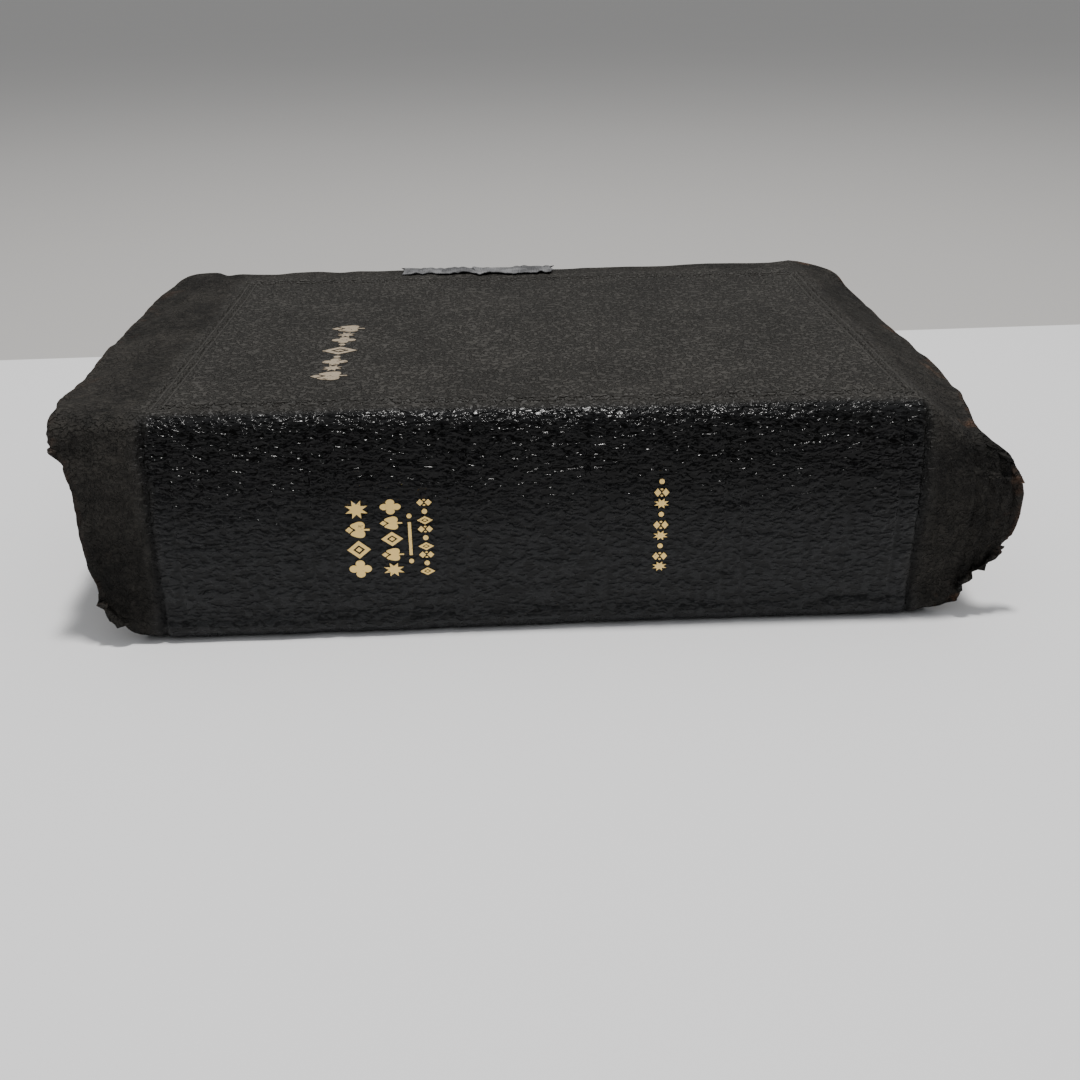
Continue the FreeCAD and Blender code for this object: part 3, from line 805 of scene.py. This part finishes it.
def toolLeaf():
    leaves = []
    for side in (-1, 1):
        leaf = shift(beginTool(20, 0.5), 0, 0, 0.42, 0.62)
        co = places(leaf)
        co[:, 0] = co[:, 0] * (1 - 1.3 * np.clip(co[:, 1], -0.5, 0.5)) + side * (0.2 + 0.25 * co[:, 1] ** 2)
        putPlaces(leaf, co)
        leaves.append(leaf)
    return joined(leaves + [bar(0, -0.2, 0.09, 0.6), shift(beginTool(4, 0.16), 0, 0.36)], "toolLeaf")


def stamp(tool, centreX, centreS, width, height):
    # a copy laid on the leather, just proud of it; its height runs along x
    copy = tool.copy()
    copy.data = tool.data.copy()
    bpy.context.scene.collection.objects.link(copy)
    co = places(copy)
    putPlaces(copy, coverPoint(centreX - co[:, 1] * height, centreS + co[:, 0] * width, -0.1) * mm)
    return copy


def giltLeaf(name, base, rub, shine):
    p = Paint(name, "restPlace")
    flake = p.noise(1500.0, 3.0, 0.7)
    gone = p.noise(700.0, 4.0, 0.7).between(rub, rub + 0.08)
    tone = p.mix(flake, darker(base, 0.85), base)
    tone = p.mix(gone * 0.8, tone, colour(0.05, 0.035, 0.02))
    return p.finish(Base_Color=tone, Metallic=shine * (1 - gone), Roughness=0.26 + 0.24 * flake,
                    Normal=p.bump(flake, 0.05 * mm))


def tooling(name, copies, material):
    obj = joined(copies, name)
    pick(obj)
    bpy.ops.object.mode_set(mode="EDIT")
    bpy.ops.mesh.select_all(action="SELECT")
    bpy.ops.mesh.quads_convert_to_tris()
    bpy.ops.object.mode_set(mode="OBJECT")
    applyModifier(obj, "SOLIDIFY", thickness=0.12 * mm, offset=0, use_rim=True)
    keepRest(obj)
    coat(obj, material)
    return obj


def toolRule():
    rule = bar(0, 0, 1, 1)
    pick(rule)
    bpy.ops.object.mode_set(mode="EDIT")
    bpy.ops.mesh.select_all(action="SELECT")
    bpy.ops.mesh.subdivide(number_cuts=14)
    bpy.ops.object.mode_set(mode="OBJECT")
    return rule


# the tools of each column, from the foot up
tools = dict(star=toolStar(), lozenge=toolLozenge(), flower=toolFlower(), knot=toolKnot(), leaf=toolLeaf(),
             rule=toolRule(), bead=beginTool(12, 0.5))
spineCopies = []
for centreX, pattern, low, high, height in (
        (-43.3, ("flower", "lozenge", "leaf", "star"), 15.8, 36.0, 5.6),
        (-35.3, ("star", "leaf", "lozenge", "leaf", "flower"), 15.8, 36.0, 5.2)):
    pitch = (high - low) / len(pattern)
    for k, kind in enumerate(pattern):
        spineCopies.append(stamp(tools[kind], centreX, low + pitch * (k + 0.5) - middle, pitch * 0.95, height))
spineCopies.append(stamp(tools["rule"], -31.0, 25.8 - middle, 8.5, 0.75))
spineCopies.append(stamp(tools["bead"], -31.0, 20.0 - middle, 1.2, 1.2))
spineCopies.append(stamp(tools["bead"], -31.0, 31.6 - middle, 1.2, 1.2))
for centreX, low, high, count in ((-27.3, 16.0, 36.0, 9), (29.0, 15.0, 40.0, 9)):
    pitch = (high - low) / count
    order = ("lozenge", "bead", "knot") if centreX < 0 else ("star", "knot", "bead")
    for k in range(count):
        kind = order[k % 3]
        width, height = (1.3, 1.3) if kind == "bead" else (pitch * 0.96, 3.7)
        spineCopies.append(stamp(tools[kind], centreX, low + pitch * (k + 0.5) - middle, width, height))
frontCopies = []
for kind, y, width, height in (("leaf", 32, 7.0, 8.0), ("star", 38.6, 4.6, 4.6), ("flower", 44.0, 5.2, 6.0),
                               ("bead", 48.4, 1.6, 1.6), ("lozenge", 54.0, 6.4, 8.2), ("bead", 59.6, 1.6, 1.6),
                               ("flower", 64.0, 5.2, 6.0), ("star", 69.4, 4.6, 4.6), ("leaf", 76, 7.0, 8.0)):
    frontCopies.append(stamp(tools[kind], -51.8, panelStart + y, width * 1.15, height * 1.15))
for tool in tools.values():
    bpy.data.objects.remove(tool)
spineGilt = tooling("spineTooling", spineCopies, giltLeaf("spineGilt", colour(1.0, 0.70, 0.25), 0.62, 0.75))
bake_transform(spineGilt)
frontGilt = tooling("frontTooling", frontCopies, giltLeaf("frontGilt", colour(0.44, 0.36, 0.26), 0.54, 0.3))
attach(frontGilt, "front_cover")
print("tooling: %d tools on the spine, %d on the front" % (len(spineCopies), len(frontCopies)))

# the repair is two pieces of tape: left, right, near and far edge, lift and swell
tape = dict(strips=[(-41.0, -12.0, 5.2, 18.0, 0.25, 0.2), (-17.0, 9.5, 4.0, 17.0, 0.5, 0.3)], thick=0.25)


def tapeStrip(name, left, right, near, far, lift, rise, seed):
    columns = steps(left, right, 0.6)
    rows = steps(near, far, 0.6)

    def place(x, b):
        edge = smooth(x, left, left + 2) * (1 - smooth(x, right - 2, right))
        inFrom = (1 - smooth(b, near, near + 2.5)) * 1.1 * ripple(x, 0, 1.9, seed)
        b = b + inFrom + 0.9 * (1 - smooth(b, near, near + 3)) * ripple(x, 9, 7, seed + 1)
        x = x + (1 - edge) * 0.9 * ripple(b, 5, 1.6, seed + 2)
        bulge = rise * smooth(b, near, near + 5) * (1 - smooth(b, near + 8, far))
        small, large = np.abs(ripple(x, b, 2.6, seed + 3)), np.abs(ripple(x + b, b - x, 4.0, seed + 4))
        return coverPoint(x, panelStart + cover["foreStart"] + b, -(lift + bulge + 0.45 * small + 0.3 * large))
    obj = gridPiece(name, columns, rows, place)
    return applyModifier(obj, "SOLIDIFY", thickness=tape["thick"] * mm, offset=0, use_rim=True)


strips = [tapeStrip("repairStrip%d" % k, *strip, 20 + 7 * k) for k, strip in enumerate(tape["strips"])]
repair = joined(strips, "repairTape")
smoothShade(repair, 35)
keepRest(repair)


def greyTape():
    p = Paint("greyTape", "restPlace")
    grime = p.noise(170.0, 5.0, 0.65)
    thread = p.x.wave(0.8 * mm)
    tone = p.mix(grime.between(0.35, 0.7), colour(0.07, 0.07, 0.073), colour(0.2, 0.2, 0.205))
    return p.finish(Base_Color=tone, Roughness=0.45 + 0.25 * grime, Normal=p.bump(thread * 0.4 + grime, 0.25 * mm),
                    Metallic=0.15)


coat(repair, greyTape())
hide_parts("repair_strip")
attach(repair, "front_cover")
print("repair tape")


def plainFloor(name, tone, corners):
    bpy.ops.object.select_all(action="DESELECT")
    bpy.ops.mesh.primitive_plane_add(size=1)
    obj = bpy.context.object
    obj.name = name
    putPlaces(obj, corners)
    p = Paint(name)
    cloud = p.noise(3.0, 2.0, 0.5)
    coat(obj, p.finish(Base_Color=p.mix(cloud, darker(tone, 0.97), tone), Roughness=0.6))
    obj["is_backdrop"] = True


near, far, below = 2.5, 30, -0.002
plainFloor("paleFloor", colour(0.74, 0.74, 0.75),
           [(-near, -near, 0), (near, -near, 0), (-near, 0.06, 0), (near, 0.29, 0)])
plainFloor("greyFloor", colour(0.41, 0.4, 0.39),
           [(-far, -far, below), (far, -far, below), (-far, far, below), (far, far, below)])


def areaLight(name, place, target, size, power, tint):
    data = bpy.data.lights.new(name, "AREA")
    data.shape, data.size, data.energy, data.color = "SQUARE", size, power, tint
    obj = bpy.data.objects.new(name, data)
    bpy.context.scene.collection.objects.link(obj)
    obj.location = place
    direction = np.array(target, float) - np.array(place, float)
    obj.rotation_euler = Vector(direction).to_track_quat("-Z", "Y").to_euler()


areaLight("ceilingLight", (0.03, -0.02, 1.3), (0, 0, 0), 0.14, 19.0, (1.0, 0.985, 0.96))
world = bpy.data.worlds.new("studio")
bpy.context.scene.world = world
world.use_nodes = True
sky = world.node_tree
upward = sky.nodes.new("ShaderNodeSeparateXYZ")
sky.links.new(sky.nodes.new("ShaderNodeTexCoord").outputs["Generated"], upward.inputs[0])
dome = sky.nodes.new("ShaderNodeMapRange")     # dark at eye level, bright overhead
for name, value in {"From Min": 0.3, "From Max": 0.75, "To Min": 0.05, "To Max": 0.84}.items():
    dome.inputs[name].default_value = value
sky.links.new(upward.outputs["Z"], dome.inputs["Value"])
sky.links.new(dome.outputs[0], sky.nodes["Background"].inputs[1])
sky.nodes["Background"].inputs[0].default_value = colour(0.97, 0.985, 1.0)

cameraData = bpy.data.cameras.new("camera")
cameraData.sensor_width, cameraData.lens = 36.0, 38.667
cameraData.clip_start = 0.01
camera = bpy.data.objects.new("camera", cameraData)
camera.location = (-0.0076, -0.3294, 0.1452)
camera.rotation_euler = [math.radians(v) for v in (64.294, 0.610, -2.020)]
bpy.context.scene.collection.objects.link(camera)
bpy.context.scene.camera = camera
print("floor, light and camera")

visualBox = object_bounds()
for name, box in (("cad", cadBox), ("visual", visualBox)):
    print(name, [[round(c, 4) for c in v] for v in box])
